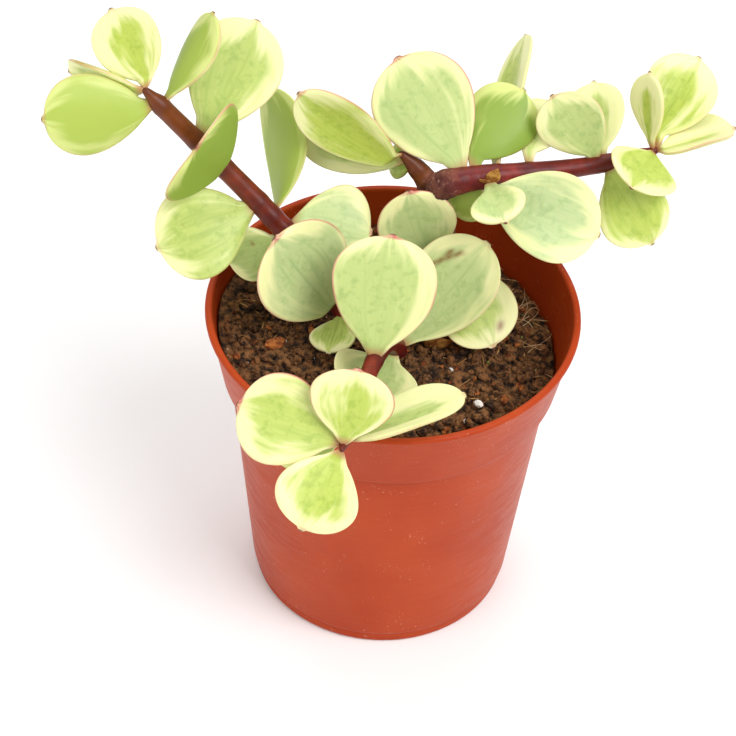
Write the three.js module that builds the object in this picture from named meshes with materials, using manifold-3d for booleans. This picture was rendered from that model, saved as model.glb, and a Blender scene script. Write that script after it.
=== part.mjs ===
// A variegated elephant bush (Portulacaria afra) cutting pot: a round thermoformed nursery pot filled
// with potting mix, three stems, a side branch and the fleshy leaves that sit on them in pairs.
// Millimetres, +Z up. The origin is the middle of the pot's foot, on the surface it stands on; +X is
// the plant's right and -Y is its front.
import * as THREE from "three";
import { mergeVertices } from "three/addons/utils/BufferGeometryUtils.js";
import Module from "manifold-3d";

const wasm = await Module();
wasm.setup();

// ---- driving dimensions ----
const RIM_R = 40; // pot's outer radius at the lip
const POT_H = 76;
const FOOT_R = 28.5; // outer radius at the foot
const BODY_R = 34.6; // outer radius of the body just under the collar
const COLLAR_R = 36.4; // outer radius at the collar's lower edge
const COLLAR_Z = 60; // height of the collar's lower edge
const COLLAR_FLARE = 1.6; // height over which the body flares out into the collar
const WALL = 0.9;
const LIP = 1.6; // width of the rolled lip
const LIP_H = 1.2; // height of the lip's outer band
const EDGE = 0.4; // rounding of the lip and the foot
const FOOT_RING = 2.6; // width of the ring that the pot stands on
const FOOT_BAND = 2.8; // height of the straight band above the foot
const FOOT_LEDGE = 0.6; // how far the wall steps out above that band
const FLOOR_Z = 1.6; // underside of the pot's floor, held clear of the surface by the foot ring
const FLOOR_SLOPE = 0.6; // draft of the floor's steps
const POT_SIDES = 48;
const DRAIN_R = 2.6;
const DRAIN_CIRCLE_R = 17;
const DRAIN_COUNT = 8;
const DRAIN_SIDES = 12;
const DRILL_DEPTH = 3.6;
const PAD_R = 7; // flat pad in the middle of the floor, level with the foot ring

const GAP = 0.3; // clearance between neighbouring solids
const SOIL_MIDDLE_Z = 66.5; // height of the soil at the pot's axis
const SOIL_FALL = 0.12; // the soil is higher on the left: fall in height per mm of X
const SOIL_BUMP = 0.5; // height of the soil's gentle bumps
const SOIL_SIDES = 36;
const SOIL_RINGS = 5;
const SOIL_FOOT_Z = 4.4; // height where the soil reaches the pot's wall above its rounded foot
const SOIL_CORNER = 1.2; // how far the soil's foot is drawn in below that height
const CRUMB_LIFT = 0.9; // keeps a loose piece clear of the soil's bumps

const LEAF_SECTORS = 10;
const LEAF_RINGS = 9;
const LEAF_HALF_THICK = 0.8;
const PETIOLE_HALF_WIDTH = 1.1;
const LEAF_WEDGE = 0.8; // how fast the leaf widens from its base
const LEAF_ROUND = 0.5; // how bluntly it closes at its tip
const MARGIN_POWER = 0.8; // below 1, the section has blunter margins than an ellipse
const PLUMP_POWER = 0.6; // below 1, the leaf keeps its thickness nearer to its ends
const POLE = 1e-6;
const STEM_SIDES = 9;
const STEM_STEPS = 14;

// Each stem is a Bezier curve of four points, with its radius at the root and at the tip.
const STEMS = {
  main_stem: {
    points: [[7, 9, 42], [9, 12, 68], [17, 17, 88], [0, 19.5, 102]],
    root_r: 3.6,
    tip_r: 1.7,
  },
  right_branch: {
    points: [[10.5, 15, 98.5], [20, 17, 101], [36, 20, 97.5], [54, 24.5, 102.5]],
    root_r: 2.7,
    tip_r: 1.6,
  },
  left_stem: {
    points: [[-3, 2, 44], [-4, -4, 82], [-30, 13, 92], [-53, 12.5, 121]],
    root_r: 2.9,
    tip_r: 1.9,
  },
  front_stem: {
    points: [[4, -3, 44], [1, 3, 86], [-5, -24, 78], [-9, -48.5, 82]],
    root_r: 2.6,
    tip_r: 1.4,
  },
};

// Each leaf: where it sits (mm along its stem from the root), its reach from base to tip, its width, and
// the roll of its upper face about the reach, 0 being face up. cup lifts the margins over the midrib,
// arch lifts the middle over the line from base to tip, and lift stands the base further off the stem.
const LEAVES = {
  left_stem: [
    { name: "leaf_low_left", at: 33, reach: [-13, -2.5, 21.5], width: 22.5, roll: -60, cup: 1.5, lift: 1.5 },
    { name: "leaf_low_under", at: 30, reach: [-2, -9, -1.5], width: 10, roll: 10, lift: 0 },
    { name: "leaf_inner_right", at: 53, reach: [15.5, 1.5, -4.5], width: 17.5, roll: 35, cup: 1.2, lift: 1.2 },
    { name: "leaf_inner_left", at: 52, reach: [-10, -3.5, -3.5], width: 12, roll: -55 },
    { name: "leaf_bowed", at: 57, reach: [-3.5, 22, 14], width: 15, roll: 120, arch: 3 },
    { name: "leaf_hanging", at: 61, reach: [-18.5, -9, -3.5], width: 19.5, roll: -50, cup: 1, arch: 1.5 },
    { name: "leaf_forward", at: 72, reach: [-5, -8.5, 12.5], width: 24, roll: 80, cup: 2, lift: 0 },
    { name: "leaf_tall", at: 80, reach: [9.5, 16, 16.5], width: 19.5, roll: 25, cup: 1, lift: 0.4 },
    { name: "leaf_slim", at: 91, reach: [8.5, 11, 13.5], width: 13, roll: 155, cup: 1.5, lift: 0 },
    { name: "leaf_drooping", at: 92, reach: [-21, -5.5, 0.5], width: 17, roll: 120, cup: 1.5 },
    { name: "leaf_end_left", at: 96, reach: [-15, 7.5, -1.6], width: 15, roll: -110, cup: 1.5 },
    { name: "leaf_end_top", at: 97, reach: [-8, 6.5, 13], width: 14.5, roll: -45, cup: 1.5, lift: 0 },
  ],
  main_stem: [
    { name: "leaf_behind_centre", at: 36, reach: [-5, 0.5, 19.5], width: 17, roll: -75, cup: 1, lift: 1.6 },
    { name: "leaf_low_right", at: 36, reach: [9, -13.5, -10.5], width: 18, roll: 5, cup: 1.5, lift: 0.4 },
    { name: "leaf_crown_under", at: 60, reach: [-4.5, 4.5, -1], width: 9, roll: 115 },
    { name: "leaf_crown_outer", at: 62, reach: [-23, 6.5, 5.5], width: 14, roll: -80, cup: 2, lift: 0.8 },
    { name: "leaf_crown_inner", at: 64, reach: [-21, 1.5, 16.5], width: 14, roll: -90, cup: 1.5, lift: 0.8 },
  ],
  right_branch: [
    { name: "leaf_tallest", at: 3, reach: [-14.5, 13.5, 16.5], width: 21.5, roll: -35, cup: 1, lift: 0.4 },
    { name: "leaf_shaded", at: 5, reach: [10.5, 11, 10], width: 16, roll: -150, cup: 1, lift: 1.4 },
    { name: "leaf_tucked", at: 7, reach: [-6, -1, -5.5], width: 10, roll: 110, lift: 1.2 },
    { name: "leaf_small_front", at: 8, reach: [3, -10.5, 0], width: 12, roll: 20, cup: 1, lift: 0.8 },
    { name: "leaf_broad_right", at: 8, reach: [23, -7, -4.5], width: 19, roll: 45, cup: 2, lift: 0.6 },
    { name: "leaf_upright", at: 10, reach: [6, 32.5, 9.5], width: 12, roll: -55, cup: 1, lift: 0 },
    { name: "leaf_rear", at: 17, reach: [9.5, 3.5, -4.5], width: 14, roll: 175, lift: 0 },
    { name: "leaf_pale", at: 17, reach: [5, 10, 6.5], width: 11.5, roll: 10, cup: 1.5, lift: 1.4 },
    { name: "leaf_fan_front", at: 32, reach: [-10.5, 2.5, 13], width: 14.5, roll: -75, cup: 1, lift: 0 },
    { name: "leaf_fan_back", at: 33, reach: [-2, 12.5, 9], width: 13, roll: -25, lift: 0 },
    { name: "leaf_right_hanging", at: 34, reach: [9.5, -11.5, -9], width: 15, roll: 35, arch: 2, lift: 0 },
    { name: "leaf_end_front", at: 44, reach: [-5.5, -13.5, 2], width: 15.5, roll: -20, cup: 1.5, lift: 0 },
    { name: "leaf_end_tall", at: 45, reach: [9, 12, 12], width: 15.5, roll: 25, cup: 1.5, lift: 1.2 },
    { name: "leaf_end_narrow", at: 44, reach: [-1.5, 6, 13.5], width: 10, roll: -65, lift: 0.2 },
    { name: "leaf_end_side", at: 45, reach: [15.5, 3.5, 4.5], width: 14, roll: -15, cup: 2, lift: 0.4 },
  ],
  front_stem: [
    { name: "leaf_scarred", at: 25, reach: [16.5, 12.5, 17.5], width: 19, roll: 25, cup: 2 },
    { name: "leaf_centre", at: 45, reach: [2.5, 15.5, 18.5], width: 22, roll: 5, cup: 1.2 },
    { name: "leaf_saucer", at: 26, reach: [-6, -15, 1], width: 18.5, roll: -10, cup: 3.5 },
    { name: "leaf_front_under", at: 71, reach: [-12.5, 0, -5], width: 12, roll: 95 },
    { name: "leaf_front_side", at: 71, reach: [21.5, 7.5, 6.5], width: 16, roll: -20, cup: 1.5 },
    { name: "leaf_front_left", at: 72, reach: [-19.5, 3, 5.5], width: 18.5, roll: -45, cup: 1.2 },
    { name: "leaf_front_round", at: 73, reach: [2, 7.5, 12], width: 17, roll: 10, cup: 1 },
    { name: "leaf_front_down", at: 74, reach: [-6.5, -12.5, -8.5], width: 17, roll: -20, cup: 1.5 },
  ],
};

const COLOURS = {
  pot: { color: 0xb5452a, roughness: 0.42, metalness: 0 },
  soil: { color: 0x3a261b, roughness: 0.95, metalness: 0 },
  bark: { color: 0x8a5a32, roughness: 0.9, metalness: 0 },
  perlite: { color: 0xece7da, roughness: 0.9, metalness: 0 },
  stem: { color: 0x7a2f2c, roughness: 0.5, metalness: 0 },
  leaf: { color: 0xb9d268, roughness: 0.4, metalness: 0 },
};

// ---- helpers ----
const vector = (p) => new THREE.Vector3(...p);

function named(name, geometry, kind) {
  const mesh = new THREE.Mesh(geometry, new THREE.MeshStandardMaterial(COLOURS[kind]));
  mesh.name = name;
  return mesh;
}

function toSolid(geometry) {
  const bare = geometry.clone();
  bare.deleteAttribute("normal");
  bare.deleteAttribute("uv");
  const merged = mergeVertices(bare, 1e-3);
  return new wasm.Manifold(
    new wasm.Mesh({
      numProp: 3,
      vertProperties: new Float32Array(merged.attributes.position.array),
      triVerts: new Uint32Array(merged.index.array),
    }),
  );
}

function toGeometry(solid) {
  const mesh = solid.getMesh();
  const geometry = new THREE.BufferGeometry();
  geometry.setAttribute("position", new THREE.BufferAttribute(mesh.vertProperties, 3));
  geometry.setIndex(new THREE.BufferAttribute(mesh.triVerts, 1));
  geometry.computeVertexNormals();
  return geometry;
}

// Moves every vertex of a geometry to where move(x, y, z) says.
function reshape(geometry, move) {
  const position = geometry.attributes.position;
  for (let i = 0; i < position.count; i++) {
    const to = move(position.getX(i), position.getY(i), position.getZ(i));
    position.setXYZ(i, to.x, to.y, to.z);
  }
  return geometry;
}

// ---- pot ----
function potGeometry() {
  const profile = [
    [0, 0],
    [PAD_R, 0],
    [PAD_R + FLOOR_SLOPE, FLOOR_Z],
    [FOOT_R - FOOT_RING - FLOOR_SLOPE, FLOOR_Z],
    [FOOT_R - FOOT_RING, 0],
    [FOOT_R - EDGE, 0],
    [FOOT_R, EDGE],
    [FOOT_R, FOOT_BAND],
    [FOOT_R + FOOT_LEDGE, FOOT_BAND + EDGE],
    [BODY_R, COLLAR_Z - COLLAR_FLARE],
    [COLLAR_R, COLLAR_Z],
    [RIM_R - WALL, POT_H - LIP_H - EDGE],
    [RIM_R, POT_H - LIP_H],
    [RIM_R, POT_H - EDGE],
    [RIM_R - EDGE, POT_H],
    [RIM_R - LIP + EDGE, POT_H],
    [RIM_R - LIP, POT_H - EDGE],
    [RIM_R - 2 * WALL, POT_H - LIP_H - EDGE],
    [COLLAR_R - WALL, COLLAR_Z + EDGE],
    [BODY_R - WALL, COLLAR_Z - COLLAR_FLARE + EDGE],
    [FOOT_R + FOOT_LEDGE - WALL, FOOT_BAND + WALL],
    [FOOT_R - FOOT_LEDGE - WALL, FLOOR_Z + WALL],
    [0, FLOOR_Z + WALL],
  ].map(([r, z]) => new THREE.Vector2(r, z));
  const turned = new THREE.LatheGeometry(profile, POT_SIDES).rotateX(Math.PI / 2);
  let pot = toSolid(turned);
  for (let i = 0; i < DRAIN_COUNT; i++) {
    const angle = (i / DRAIN_COUNT) * 2 * Math.PI;
    const drill = new THREE.CylinderGeometry(DRAIN_R, DRAIN_R, DRILL_DEPTH, DRAIN_SIDES);
    drill.rotateX(Math.PI / 2);
    drill.translate(DRAIN_CIRCLE_R * Math.cos(angle), DRAIN_CIRCLE_R * Math.sin(angle), FLOOR_Z + WALL / 2);
    pot = pot.subtract(toSolid(drill));
  }
  return toGeometry(pot);
}

// ---- stems ----
const curves = Object.fromEntries(
  Object.entries(STEMS).map(([name, { points }]) => [
    name,
    new THREE.CubicBezierCurve3(...points.map(vector)),
  ]),
);

function stemRadius(name, share) {
  const { root_r, tip_r } = STEMS[name];
  return root_r + (tip_r - root_r) * share;
}

function stemGeometry(name, extra = 0) {
  const curve = curves[name];
  const frames = curve.computeFrenetFrames(STEM_STEPS, false);
  const tube = new THREE.CylinderGeometry(1, 1, 1, STEM_SIDES, STEM_STEPS);
  return reshape(tube, (x, y, z) => {
    const share = 0.5 - y;
    const step = Math.round(share * STEM_STEPS);
    const radius = stemRadius(name, share) + extra;
    const overshoot = step === 0 ? -extra : step === STEM_STEPS ? extra : 0;
    return curve
      .getPointAt(share)
      .addScaledVector(frames.tangents[step], overshoot)
      .addScaledVector(frames.normals[step], x * radius)
      .addScaledVector(frames.binormals[step], z * radius);
  });
}

// ---- soil ----
function soilTop(x, y) {
  const bumps = Math.sin(x * 0.31 + 1) * Math.cos(y * 0.27) + 0.6 * Math.sin(x * 0.13 - y * 0.41);
  return SOIL_MIDDLE_Z - SOIL_FALL * x + SOIL_BUMP * bumps;
}

// Inner radius of the pot's wall at height z.
function wallInside(z) {
  const low = z < COLLAR_Z;
  const [z0, r0] = low ? [FOOT_BAND + WALL, FOOT_R + FOOT_LEDGE] : [COLLAR_Z, COLLAR_R];
  const [z1, r1] = low ? [COLLAR_Z - COLLAR_FLARE, BODY_R] : [POT_H - LIP_H - EDGE, RIM_R - WALL];
  return r0 + ((r1 - r0) * (z - z0)) / (z1 - z0) - WALL;
}

function soilGeometry() {
  const clear = 2 * GAP;
  const bottom = FLOOR_Z + WALL + GAP;
  const wall = [SOIL_FOOT_Z, COLLAR_Z - COLLAR_FLARE].map((z) => [wallInside(z) - clear, z]);
  const foot = [wall[0][0] - SOIL_CORNER, bottom];
  // The top's rings are on a unit disc, and spread to the wall at the height of the soil there.
  const top = Array.from({ length: SOIL_RINGS + 1 }, (_, i) => [1 - i / SOIL_RINGS, SOIL_MIDDLE_Z]);
  const profile = [[0, bottom], foot, ...wall, ...top].map(([r, z]) => new THREE.Vector2(r, z));
  const body = new THREE.LatheGeometry(profile, SOIL_SIDES).rotateX(Math.PI / 2);
  const filled = reshape(body, (x, y, z) => {
    if (z < COLLAR_Z) return new THREE.Vector3(x, y, z);
    const edge = wallInside(SOIL_MIDDLE_Z - SOIL_FALL * x * RIM_R - 2 * SOIL_BUMP) - clear;
    return new THREE.Vector3(x * edge, y * edge, soilTop(x * edge, y * edge));
  });
  let soil = toSolid(filled);
  for (const name of ["main_stem", "left_stem", "front_stem"]) {
    soil = soil.subtract(toSolid(stemGeometry(name, GAP)));
  }
  return toGeometry(soil);
}

// ---- leaves ----
// The outline's half-width at share s of the length, 1 at its widest: a wedge base and a round tip.
function outline(s) {
  const widest = LEAF_WEDGE / (LEAF_WEDGE + LEAF_ROUND);
  return (s / widest) ** LEAF_WEDGE * ((1 - s) / (1 - widest)) ** LEAF_ROUND;
}

function leafGeometry(stem, leaf) {
  const { at, reach, width, roll, cup = 0.8, arch = 0, lift = 0 } = leaf;
  const curve = curves[stem];
  const share = Math.min(at / curve.getLength(), 1);
  const along = vector(reach).normalize();
  const length = vector(reach).length();
  const tangent = curve.getTangentAt(share);
  const outward = along.clone().addScaledVector(tangent, -along.dot(tangent)).normalize();
  const base = curve.getPointAt(share).addScaledVector(outward, stemRadius(stem, share) + GAP + lift);
  const up = new THREE.Vector3(0, 0, 1);
  const faceUp = up.addScaledVector(along, -along.z).normalize();
  const face = faceUp.applyAxisAngle(along, THREE.MathUtils.degToRad(roll));
  const across = face.clone().cross(along);
  const half = width / 2;
  const ball = new THREE.SphereGeometry(1, LEAF_SECTORS, LEAF_RINGS);
  return reshape(ball, (x, y, z) => {
    const s = (1 - y) / 2;
    const ring = Math.sqrt(Math.max(1 - y * y, 0));
    const turn = Math.atan2(z, x);
    const halfWidth = Math.max(half * outline(s), PETIOLE_HALF_WIDTH * Math.sqrt(ring) * (1 - s) ** 2);
    const blunt = Math.sign(Math.cos(turn)) * Math.abs(Math.cos(turn)) ** MARGIN_POWER;
    const out = ring < POLE ? 0 : halfWidth * blunt;
    const thick = LEAF_HALF_THICK * ring ** PLUMP_POWER * Math.sin(turn);
    const bend = cup * (out / half) ** 2 + arch * 4 * s * (1 - s);
    return base
      .clone()
      .addScaledVector(along, length * s)
      .addScaledVector(across, out)
      .addScaledVector(face, thick + bend);
  });
}

// ---- loose pieces on the soil ----
function crumb(name, kind, [x, y], size, turn) {
  const stone = new THREE.DodecahedronGeometry(1, 0).scale(...size).rotateZ(turn);
  stone.translate(x, y, soilTop(x, y) + size[2] + CRUMB_LIFT);
  return named(name, stone, kind);
}

const plant = new THREE.Group();
plant.add(named("pot", potGeometry(), "pot"));
plant.add(named("soil", soilGeometry(), "soil"));
for (const stem of Object.keys(STEMS)) {
  plant.add(named(stem, stemGeometry(stem), "stem"));
  for (const leaf of LEAVES[stem]) {
    plant.add(named(leaf.name, leafGeometry(stem, leaf), "leaf"));
  }
}
plant.add(crumb("bark_chip", "bark", [-24.6, -8.4], [2.6, 1.8, 1.0], 0.5));
plant.add(crumb("perlite_large", "perlite", [18.9, -17.5], [0.9, 1.2, 0.7], 0.9));
plant.add(crumb("perlite_small", "perlite", [16.4, -22.7], [0.7, 0.6, 0.5], 0.2));

export default plant;
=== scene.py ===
"""A potted variegated elephant bush (Portulacaria afra): a thermoformed nursery pot filled with peaty potting
mix, three maroon stems, a side branch and forty fleshy leaves. Lengths are in millimetres up to finish_piece,
which puts them into metres. The origin is the middle of the pot's foot, and -Y is the plant's front."""

import functools
import math
import random

import bmesh
import bpy
from mathutils import Matrix, Vector, noise


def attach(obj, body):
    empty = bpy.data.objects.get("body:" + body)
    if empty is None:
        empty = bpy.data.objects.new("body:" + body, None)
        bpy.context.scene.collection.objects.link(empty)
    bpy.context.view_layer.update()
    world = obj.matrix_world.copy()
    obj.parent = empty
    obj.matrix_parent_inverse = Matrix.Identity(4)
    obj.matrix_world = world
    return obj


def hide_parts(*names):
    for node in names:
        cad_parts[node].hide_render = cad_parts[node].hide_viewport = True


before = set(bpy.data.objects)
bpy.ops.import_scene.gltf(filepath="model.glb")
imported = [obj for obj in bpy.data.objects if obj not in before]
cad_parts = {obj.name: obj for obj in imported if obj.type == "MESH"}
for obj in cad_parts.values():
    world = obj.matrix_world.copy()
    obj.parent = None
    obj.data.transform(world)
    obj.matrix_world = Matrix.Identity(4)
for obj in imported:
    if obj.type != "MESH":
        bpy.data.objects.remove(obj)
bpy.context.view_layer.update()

MM = 0.001
SEED = 7

# ---- pot ----
RIM_R = 40
POT_H = 76
FOOT_R = 28.5
BODY_R = 34.6
COLLAR_R = 36.4
COLLAR_Z = 60
COLLAR_FLARE = 1.6
WALL = 0.9
LIP = 1.6
LIP_H = 1.2
EDGE = 0.4
FOOT_RING = 2.6
FOOT_BAND = 2.8
FOOT_LEDGE = 0.6
FLOOR_Z = 1.6
FLOOR_SLOPE = 0.6
PAD_R = 7
DRAIN_R = 2.6
DRAIN_CIRCLE_R = 17
DRAIN_COUNT = 8
POT_SIDES = 160
COLLAR_STEP_Z = 59.3
CORNER = 0.5

# ---- soil ----
GAP = 0.3
SOIL_MIDDLE_Z = 66.5
SOIL_FALL = 0.12
SOIL_BUMP = 0.5

# ---- leaves ----
LEAF_HALF_THICK = 0.85
PETIOLE_HALF_WIDTH = 1.1
LEAF_WEDGE = 0.8
LEAF_ROUND = 0.5
MARGIN_POWER = 0.8
PLUMP_POWER = 0.6
FACE_POWER = 0.75
OUTLINE_WOBBLE = 0.05
RUFFLE = 0.55
CREASE_DEPTH = 0.22
CREASE_HALF_WIDTH = 1.6
TIP_POINT = 0.6
ROOTED = 0.8  # how far a leaf's foot goes into its stem, as a share of the stem's radius
LEAF_AROUND = 64
LEAF_RINGS = 60
SEED_STEP = 3.7  # keeps each leaf's wobble apart from its neighbours'
PATCH_STEP = 1.37  # and its colour patches

# Each stem is a Bezier curve of four points, with its radius at the root and at the tip.
STEMS = {
    "main_stem": ([[7, 9, 42], [9, 12, 68], [17, 17, 88], [0, 19.5, 102]], 3.6, 1.7),
    "right_branch": ([[10.5, 15, 98.5], [20, 17, 101], [36, 20, 97.5], [54, 24.5, 102.5]], 2.7, 1.6),
    "left_stem": ([[-3, 2, 44], [-4, -4, 82], [-30, 13, 92], [-53, 12.5, 121]], 2.9, 1.9),
    "front_stem": ([[4, -3, 44], [1, 3, 86], [-5, -24, 78], [-9, -48.5, 82]], 2.6, 1.4),
}

# Each leaf: where it sits (mm along its stem from the root), its reach from base to tip, its width, the roll
# of its upper face about the reach, how far its margins are cupped up, how far its middle is arched, and how
# far its base stands off the stem.
LEAVES = {
    "left_stem": {
        "low_left": (33, (-13, -2.5, 21.5), 22.5, -60, 1.5, 0, 1.5),
        "low_under": (30, (-2, -9, -1.5), 10, 10, 0.8, 0, 0),
        "inner_right": (53, (15.5, 1.5, -4.5), 17.5, 35, 1.2, 0, 1.2),
        "inner_left": (52, (-10, -3.5, -3.5), 12, -55, 0.8, 0, 0),
        "bowed": (57, (-3.5, 22, 14), 15, 120, 0.8, 3, 0),
        "hanging": (61, (-18.5, -9, -3.5), 19.5, -50, 1, 1.5, 0),
        "forward": (72, (-5, -8.5, 12.5), 24, 80, 2, 0, 0),
        "tall": (80, (9.5, 16, 16.5), 19.5, 25, 1, 0, 0.4),
        "slim": (91, (8.5, 11, 13.5), 13, 155, 1.5, 0, 0),
        "drooping": (92, (-21, -5.5, 0.5), 17, 120, 1.5, 0, 0),
        "end_left": (96, (-15, 7.5, -1.6), 15, -110, 1.5, 0, 0),
        "end_top": (97, (-8, 6.5, 13), 14.5, -45, 1.5, 0, 0),
    },
    "main_stem": {
        "behind_centre": (36, (-5, 0.5, 19.5), 17, -75, 1, 0, 1.6),
        "low_right": (36, (9, -13.5, -10.5), 18, 5, 1.5, 0, 0.4),
        "crown_under": (60, (-4.5, 4.5, -1), 9, 115, 0.8, 0, 0),
        "crown_outer": (62, (-23, 6.5, 5.5), 14, -80, 2, 0, 0.8),
        "crown_inner": (64, (-21, 1.5, 16.5), 14, -90, 1.5, 0, 0.8),
    },
    "right_branch": {
        "tallest": (3, (-14.5, 13.5, 16.5), 21.5, -35, 1, 0, 0.4),
        "shaded": (5, (10.5, 11, 10), 16, -150, 1, 0, 1.4),
        "tucked": (7, (-6, -1, -5.5), 10, 110, 0.8, 0, 1.2),
        "small_front": (8, (3, -10.5, 0), 12, 20, 1, 0, 0.8),
        "broad_right": (8, (23, -7, -4.5), 19, 45, 2, 0, 0.6),
        "upright": (10, (6, 32.5, 9.5), 12, -55, 1, 0, 0),
        "rear": (17, (9.5, 3.5, -4.5), 14, 175, 0.8, 0, 0),
        "pale": (17, (5, 10, 6.5), 11.5, 10, 1.5, 0, 1.4),
        "fan_front": (32, (-10.5, 2.5, 13), 14.5, -75, 1, 0, 0),
        "fan_back": (33, (-2, 12.5, 9), 13, -25, 0.8, 0, 0),
        "right_hanging": (34, (9.5, -11.5, -9), 15, 35, 0.8, 2, 0),
        "end_front": (44, (-5.5, -13.5, 2), 15.5, -20, 1.5, 0, 0),
        "end_tall": (45, (9, 12, 12), 15.5, 25, 1.5, 0, 1.2),
        "end_narrow": (44, (-1.5, 6, 13.5), 10, -65, 0.8, 0, 0.2),
        "end_side": (45, (15.5, 3.5, 4.5), 14, -15, 2, 0, 0.4),
    },
    "front_stem": {
        "scarred": (25, (16.5, 12.5, 17.5), 19, 25, 2, 0, 0),
        "centre": (45, (2.5, 15.5, 18.5), 22, 5, 1.2, 0, 0),
        "saucer": (26, (-6, -15, 1), 18.5, -10, 3.5, 0, 0),
        "front_under": (71, (-12.5, 0, -5), 12, 95, 0.8, 0, 0),
        "front_side": (71, (21.5, 7.5, 6.5), 16, -20, 1.5, 0, 0),
        "front_left": (72, (-19.5, 3, 5.5), 18.5, -45, 1.2, 0, 0),
        "front_round": (73, (2, 7.5, 12), 17, 10, 1, 0, 0),
        "front_down": (74, (-6.5, -12.5, -8.5), 17, -20, 1.5, 0, 0),
    },
}

# Each leaf's colouring: how wide its green middle is, how far from lime to grey-green it has aged, how dark
# its streaks are and how deep its underside's green is (that part is painted shade, darkest on leaves that
# sit in shade), how pink its margin is, and how far its green middle leans to one side.
COLOURING = {
    "low_left": (0.95, 0.9, 0.7, 0.8, 0.0),
    "low_under": (0.95, 0.2, 0.9, 0.1, 0.0),
    "inner_right": (0.85, 0.8, 0.5, 0.6, 0.0),
    "inner_left": (0.9, 0.6, 0.5, 0.2, 0.0),
    "bowed": (0.95, 0.3, 0.35, 0.2, 0.1),
    "hanging": (0.95, 0.3, 0.5, 0.25, 0.0),
    "forward": (1.3, 0.1, 0.9, 0.7, 0.0),
    "tall": (0.8, 0.35, 0.4, 0.3, 0.0),
    "slim": (0.85, 0.2, 0.4, 0.4, 0.0),
    "drooping": (1.0, 0.0, 0.1, 0.4, 0.0),
    "end_left": (0.9, 0.0, 0.4, 0.5, 0.0),
    "end_top": (0.62, 0.0, 0.3, 0.3, -0.1),
    "behind_centre": (0.85, 0.8, 0.4, 0.9, 0.0),
    "low_right": (0.85, 0.2, 0.3, 0.5, -0.2),
    "crown_outer": (0.6, 0.3, 0.3, 0.35, 0.0),
    "crown_inner": (0.95, 0.0, 0.4, 0.6, 0.0),
    "tallest": (0.78, 0.7, 0.4, 0.8, 0.1),
    "shaded": (0.95, 0.0, 1.0, 0.2, 0.25),
    "small_front": (0.85, 0.7, 0.4, 0.2, 0.0),
    "broad_right": (0.85, 1.0, 0.35, 0.2, 0.0),
    "upright": (0.75, 0.1, 0.4, 0.2, 0.1),
    "pale": (0.45, 0.4, 0.2, 0.2, 0.0),
    "fan_front": (0.85, 0.6, 0.3, 0.5, 0.0),
    "fan_back": (0.5, 0.4, 0.2, 0.2, 0.0),
    "right_hanging": (0.95, 0.1, 0.5, 0.2, 0.0),
    "end_front": (0.85, 0.1, 0.3, 0.2, 0.0),
    "end_tall": (0.66, 0.0, 0.8, 0.3, 0.1),
    "end_narrow": (0.35, 0.0, 0.3, 0.3, 0.0),
    "end_side": (0.25, 0.0, 0.3, 0.5, -0.2),
    "scarred": (0.9, 0.8, 0.5, 0.3, 0.0),
    "centre": (0.88, 0.6, 0.3, 0.9, 0.1),
    "saucer": (0.7, 0.7, 0.6, 0.2, 0.0),
    "front_side": (0.32, 0.5, 0.3, 0.3, -0.3),
    "front_left": (0.75, 0.2, 0.35, 0.9, 0.0),
    "front_round": (0.62, 0.1, 0.3, 0.9, 0.0),
    "front_down": (0.68, 0.05, 0.4, 0.4, 0.0),
}
USUAL_COLOURING = (0.75, 0.3, 0.4, 0.3, 0.0)
LEAF_KINDS = ("seed", "green", "age", "dark", "blush", "lean")

# Brown marks on a leaf, each a line of points (share of length, share of half-width) and its reach in mm.
MARKS = {
    "scarred": [
        ([(0.5, 0.78), (0.6, 0.62), (0.7, 0.5), (0.82, 0.34)], 0.5),
        ([(0.7, 0.5), (0.78, 0.55)], 0.4),
    ],
    "low_right": [([(0.82, 0.45), (0.84, 0.43)], 0.9)],
    "inner_right": [([(0.5, -0.82), (0.51, -0.82)], 0.5)],
    "hanging": [
        ([(0.55, 0.2), (0.55, 0.21)], 0.22),
        ([(0.7, -0.3), (0.7, -0.31)], 0.2),
        ([(0.4, 0.5), (0.4, 0.51)], 0.2),
    ],
    "inner_left": [([(0.45, -0.3), (0.45, -0.31)], 0.4)],
    "drooping": [([(0.55, 0.7), (0.57, 0.72)], 0.5)],
}


# ---- meshes ----
def finish_piece(name, bm, material, stands_for=(), smooth=True):
    """Makes the bmesh, in mm, an object on the root body, with faces outwards and its place in its mesh."""
    bmesh.ops.scale(bm, vec=(MM, MM, MM), verts=bm.verts)
    bmesh.ops.recalc_face_normals(bm, faces=bm.faces)
    mesh = bpy.data.meshes.new(name)
    bm.to_mesh(mesh)
    bm.free()
    for face in mesh.polygons:
        face.use_smooth = smooth
    piece = bpy.data.objects.new(name, mesh)
    bpy.context.scene.collection.objects.link(piece)
    mesh.materials.append(material)
    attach(piece, "root")
    if stands_for:
        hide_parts(*stands_for)
    return piece


def clamp(value, low=0.0, high=1.0):
    return min(max(value, low), high)


def ease(start, end, value):
    """0 before start, 1 after end, and a smooth rise between them."""
    share = clamp((value - start) / (end - start))
    return share * share * (3 - 2 * share)


def bump_at(place, middle, reach):
    return math.exp(-(((place - middle) / reach) ** 2))


def reshaped_ball(bm, around, rings, place):
    """A closed ball whose vertices go where place(z, turn, vertex) says, z being 1 at its first pole."""
    ball = bmesh.ops.create_uvsphere(bm, u_segments=around, v_segments=rings, radius=1)
    for vertex in ball["verts"]:
        x, y, z = vertex.co
        vertex.co = place(clamp(z, -1, 1), math.atan2(y, x), vertex)


def bezier(points, share):
    a, b, c, d = (Vector(p) for p in points)
    rest = 1 - share
    return a * rest**3 + b * 3 * rest**2 * share + c * 3 * rest * share**2 + d * share**3


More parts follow.
